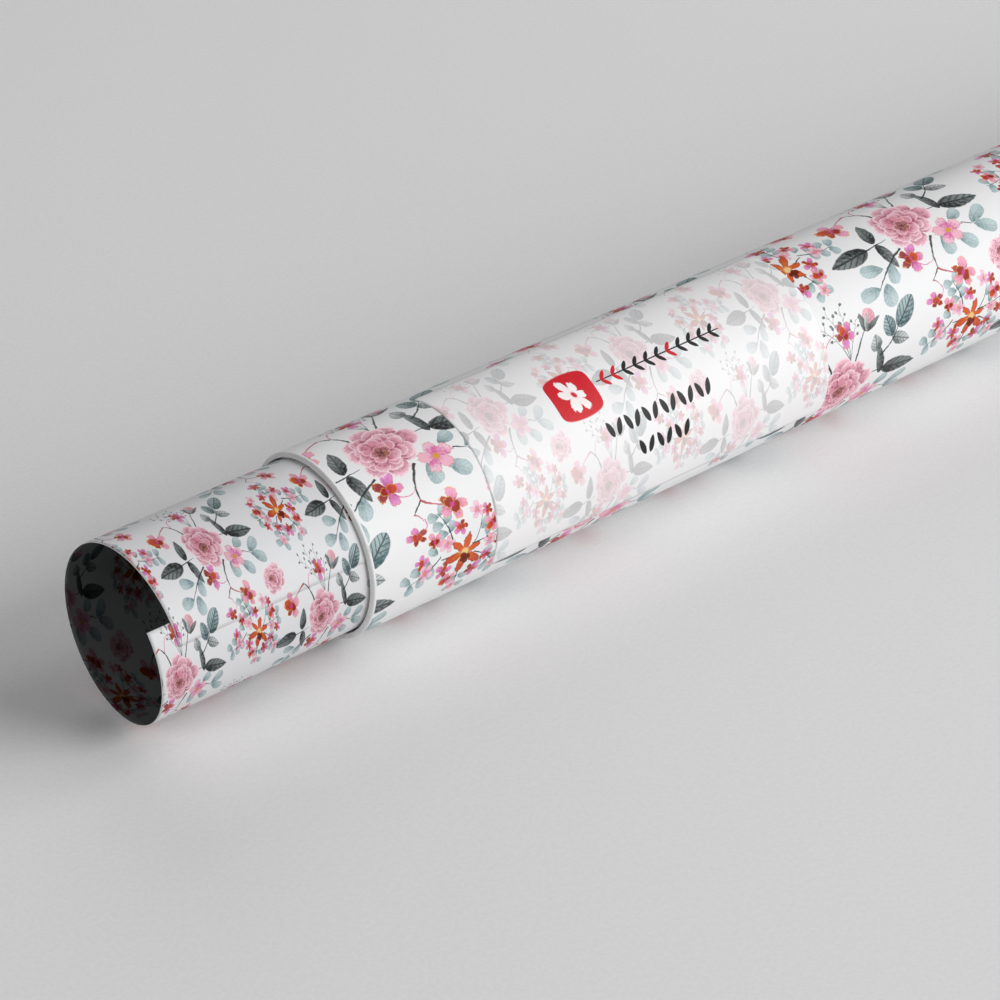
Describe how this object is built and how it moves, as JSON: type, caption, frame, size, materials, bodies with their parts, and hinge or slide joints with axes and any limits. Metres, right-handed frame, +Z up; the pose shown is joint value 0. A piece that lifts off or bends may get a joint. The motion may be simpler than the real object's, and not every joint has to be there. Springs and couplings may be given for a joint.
{
  "type": "wrapping paper roll",
  "caption": "Roll of printed gift wrap: a wound paper web with a skewed inner sheet telescoped out at one end, round a spiral cardboard core.",
  "frame": {"origin": "on the surface that the roll lies on, under its axis and midway along its whole length", "axes": "+X along the roll's axis, away from the telescoped end; +Z up"},
  "size_m": [0.7624, 0.0501, 0.05],
  "materials": {
    "web_print": "smooth white paper with a watercolour floral print",
    "sheet_print": "smooth white paper printed on both sides",
    "label_print": "smooth sticker paper with a pale floral print",
    "clear_tape": "clear glossy film",
    "core_kraft": "matt brown kraft board",
    "core_greyboard": "matt grey-brown board"
  },
  "bodies": {
    "outer_roll": {"outer_web": "web_print", "label": "label_print", "tail_tape": "clear_tape"},
    "core": {"core_outer_ply": "core_kraft", "core_middle_ply": "core_greyboard", "core_inner_ply": "core_kraft"},
    "inner_sheet": {"inner_sheet": "sheet_print"}
  },
  "joints": [
    {"name": "core_spin", "type": "hinge", "parent": "outer_roll", "child": "core", "pos_m": [0, 0, 0.025], "axis": [1, 0, 0], "continuous": true},
    {"name": "sheet_slide", "type": "slide", "parent": "core", "child": "inner_sheet", "axis": [-1, 0, 0], "range_m": [-0.0623, 0.58]}
  ]
}
